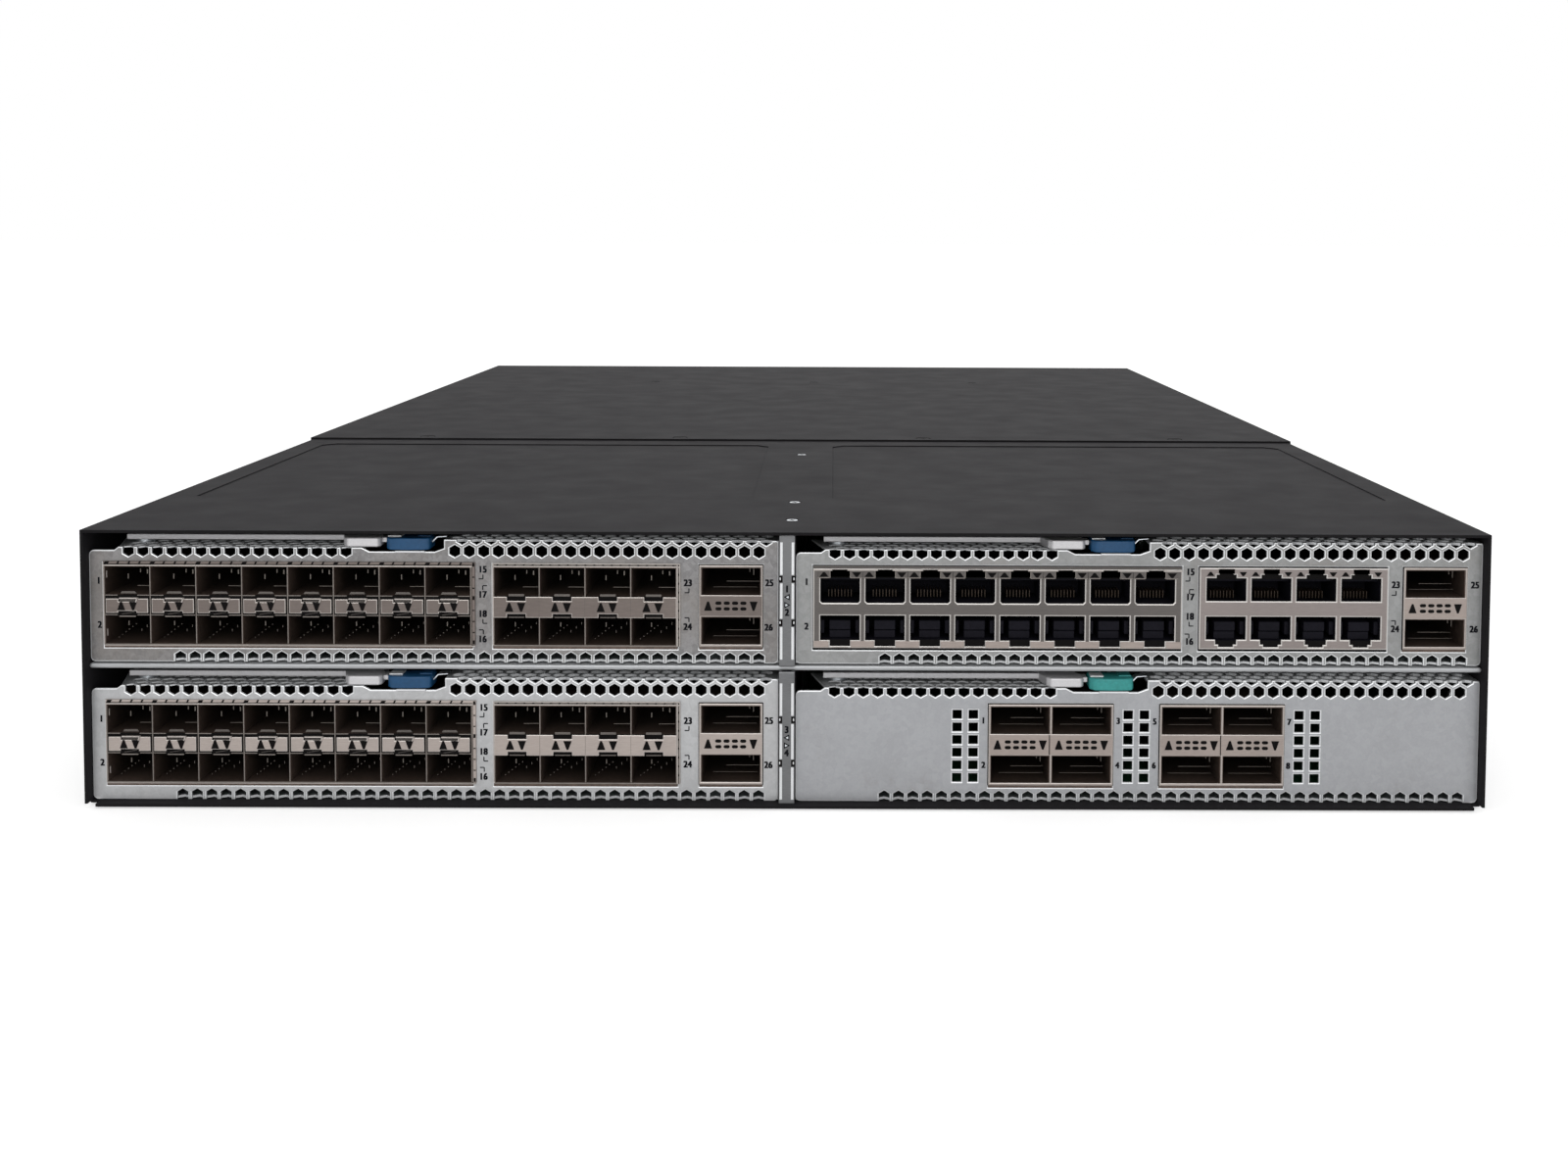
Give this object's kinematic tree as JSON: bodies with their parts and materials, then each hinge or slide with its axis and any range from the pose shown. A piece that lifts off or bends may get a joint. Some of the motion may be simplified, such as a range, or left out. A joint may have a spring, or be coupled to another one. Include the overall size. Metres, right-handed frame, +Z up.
{
  "type": "modular chassis switch",
  "caption": "Rack-mount network chassis with sliding port modules, ejector levers, fan trays and power supplies.",
  "frame": {"origin": "middle of the underside", "axes": "+X right seen from the ports, +Y from the ports to the rear, +Z up"},
  "size_m": [0.44, 0.66, 0.0881],
  "materials": {
    "chassis_paint": "fine-textured charcoal powder coat",
    "bare_steel": "zinc-plated sheet",
    "galvanised_face": "mottled galvanised sheet",
    "cage_metal": "warm nickel-plated stamping",
    "cast_silver": "blasted casting",
    "blue_plastic": "moulded",
    "green_plastic": "moulded",
    "black_plastic": "moulded",
    "connector_plastic": "moulded",
    "circuit_board": "solder-masked board",
    "supply_case": "plated sheet"
  },
  "bodies": {
    "chassis": {"backplane": "circuit_board", "backplane_sockets": "connector_plastic", "base_pan": "chassis_paint", "front_cover": "chassis_paint", "lower_column": "bare_steel", "management_jacks": "connector_plastic", "management_panel": "galvanised_face", "rear_bay_frame": "bare_steel", "rear_cover": "chassis_paint", "slot_shelf": "bare_steel", "upper_column": "bare_steel"},
    "module_1": {"module_1_board": "circuit_board", "module_1_cage_a": "cage_metal", "module_1_cage_b": "cage_metal", "module_1_faceplate": "galvanised_face", "module_1_quad_cage": "cage_metal", "module_1_tray": "bare_steel"},
    "module_1_lever": {"module_1_lever": "cast_silver"},
    "module_1_latch": {"module_1_latch": "blue_plastic"},
    "module_2": {"module_2_board": "circuit_board", "module_2_cage_a": "cage_metal", "module_2_cage_b": "cage_metal", "module_2_faceplate": "galvanised_face", "module_2_quad_cage": "cage_metal", "module_2_tray": "bare_steel"},
    "module_2_lever": {"module_2_lever": "cast_silver"},
    "module_2_latch": {"module_2_latch": "blue_plastic"},
    "module_3": {"module_3_board": "circuit_board", "module_3_cage_a": "cage_metal", "module_3_cage_b": "cage_metal", "module_3_faceplate": "galvanised_face", "module_3_quad_cage": "cage_metal", "module_3_tray": "bare_steel"},
    "module_3_lever": {"module_3_lever": "cast_silver"},
    "module_3_latch": {"module_3_latch": "blue_plastic"},
    "module_4": {"module_4_board": "circuit_board", "module_4_cage_a": "cage_metal", "module_4_cage_b": "cage_metal", "module_4_faceplate": "galvanised_face", "module_4_tray": "bare_steel"},
    "module_4_lever": {"module_4_lever": "cast_silver"},
    "module_4_latch": {"module_4_latch": "green_plastic"},
    "fan_tray_1": {"fan_tray_1_body": "black_plastic"},
    "fan_tray_1_rotor": {"fan_tray_1_rotor": "black_plastic"},
    "fan_tray_1_latch": {"fan_tray_1_latch": "green_plastic"},
    "fan_tray_2": {"fan_tray_2_body": "black_plastic"},
    "fan_tray_2_rotor": {"fan_tray_2_rotor": "black_plastic"},
    "fan_tray_2_latch": {"fan_tray_2_latch": "green_plastic"},
    "power_supply_1": {"power_supply_1_case": "supply_case"},
    "power_supply_1_latch": {"power_supply_1_latch": "green_plastic"},
    "power_supply_2": {"power_supply_2_case": "supply_case"},
    "power_supply_2_latch": {"power_supply_2_latch": "green_plastic"},
    "power_supply_3": {"power_supply_3_case": "supply_case"},
    "power_supply_3_latch": {"power_supply_3_latch": "green_plastic"},
    "power_supply_4": {"power_supply_4_case": "supply_case"},
    "power_supply_4_latch": {"power_supply_4_latch": "green_plastic"}
  },
  "joints": [
    {"name": "module_1_slide", "type": "slide", "parent": "chassis", "child": "module_1", "axis": [0, -1, 0], "range_m": [0, 0.26]},
    {"name": "module_1_lever_hinge", "type": "hinge", "parent": "module_1", "child": "module_1_lever", "pos_m": [-0.2051, -0.314, 0.08295], "axis": [0, 0, -1], "range_deg": [0, 75]},
    {"name": "module_1_latch_slide", "type": "slide", "parent": "module_1", "child": "module_1_latch", "axis": [1, 0, 0], "range_m": [0, 0.0015], "stiffness_N_per_m": 400},
    {"name": "module_2_slide", "type": "slide", "parent": "chassis", "child": "module_2", "axis": [0, -1, 0], "range_m": [0, 0.26]},
    {"name": "module_2_lever_hinge", "type": "hinge", "parent": "module_2", "child": "module_2_lever", "pos_m": [0.01575, -0.314, 0.08295], "axis": [0, 0, -1], "range_deg": [0, 75]},
    {"name": "module_2_latch_slide", "type": "slide", "parent": "module_2", "child": "module_2_latch", "axis": [1, 0, 0], "range_m": [0, 0.0015], "stiffness_N_per_m": 400},
    {"name": "module_3_slide", "type": "slide", "parent": "chassis", "child": "module_3", "axis": [0, -1, 0], "range_m": [0, 0.26]},
    {"name": "module_3_lever_hinge", "type": "hinge", "parent": "module_3", "child": "module_3_lever", "pos_m": [-0.2051, -0.314, 0.03915], "axis": [0, 0, -1], "range_deg": [0, 75]},
    {"name": "module_3_latch_slide", "type": "slide", "parent": "module_3", "child": "module_3_latch", "axis": [1, 0, 0], "range_m": [0, 0.0015], "stiffness_N_per_m": 400},
    {"name": "module_4_slide", "type": "slide", "parent": "chassis", "child": "module_4", "axis": [0, -1, 0], "range_m": [0, 0.26]},
    {"name": "module_4_lever_hinge", "type": "hinge", "parent": "module_4", "child": "module_4_lever", "pos_m": [0.01575, -0.314, 0.03915], "axis": [0, 0, -1], "range_deg": [0, 75]},
    {"name": "module_4_latch_slide", "type": "slide", "parent": "module_4", "child": "module_4_latch", "axis": [1, 0, 0], "range_m": [0, 0.0015], "stiffness_N_per_m": 400},
    {"name": "fan_tray_1_slide", "type": "slide", "parent": "chassis", "child": "fan_tray_1", "axis": [0, 1, 0], "range_m": [0, 0.08]},
    {"name": "fan_tray_1_rotor_spin", "type": "hinge", "parent": "fan_tray_1", "child": "fan_tray_1_rotor", "pos_m": [-0.1708, 0.313, 0.04465], "axis": [0, 1, 0], "continuous": true},
    {"name": "fan_tray_1_latch_slide", "type": "slide", "parent": "fan_tray_1", "child": "fan_tray_1_latch", "axis": [1, 0, 0], "range_m": [0, 0.003], "stiffness_N_per_m": 400},
    {"name": "fan_tray_2_slide", "type": "slide", "parent": "chassis", "child": "fan_tray_2", "axis": [0, 1, 0], "range_m": [0, 0.08]},
    {"name": "fan_tray_2_rotor_spin", "type": "hinge", "parent": "fan_tray_2", "child": "fan_tray_2_rotor", "pos_m": [-0.073, 0.313, 0.04465], "axis": [0, 1, 0], "continuous": true},
    {"name": "fan_tray_2_latch_slide", "type": "slide", "parent": "fan_tray_2", "child": "fan_tray_2_latch", "axis": [1, 0, 0], "range_m": [0, 0.003], "stiffness_N_per_m": 400},
    {"name": "power_supply_1_slide", "type": "slide", "parent": "chassis", "child": "power_supply_1", "axis": [0, 1, 0], "range_m": [0, 0.22]},
    {"name": "power_supply_1_latch_slide", "type": "slide", "parent": "power_supply_1", "child": "power_supply_1_latch", "axis": [1, 0, 0], "range_m": [0, 0.003], "stiffness_N_per_m": 400},
    {"name": "power_supply_2_slide", "type": "slide", "parent": "chassis", "child": "power_supply_2", "axis": [0, 1, 0], "range_m": [0, 0.22]},
    {"name": "power_supply_2_latch_slide", "type": "slide", "parent": "power_supply_2", "child": "power_supply_2_latch", "axis": [1, 0, 0], "range_m": [0, 0.003], "stiffness_N_per_m": 400},
    {"name": "power_supply_3_slide", "type": "slide", "parent": "chassis", "child": "power_supply_3", "axis": [0, 1, 0], "range_m": [0, 0.22]},
    {"name": "power_supply_3_latch_slide", "type": "slide", "parent": "power_supply_3", "child": "power_supply_3_latch", "axis": [1, 0, 0], "range_m": [0, 0.003], "stiffness_N_per_m": 400},
    {"name": "power_supply_4_slide", "type": "slide", "parent": "chassis", "child": "power_supply_4", "axis": [0, 1, 0], "range_m": [0, 0.22]},
    {"name": "power_supply_4_latch_slide", "type": "slide", "parent": "power_supply_4", "child": "power_supply_4_latch", "axis": [1, 0, 0], "range_m": [0, 0.003], "stiffness_N_per_m": 400}
  ]
}
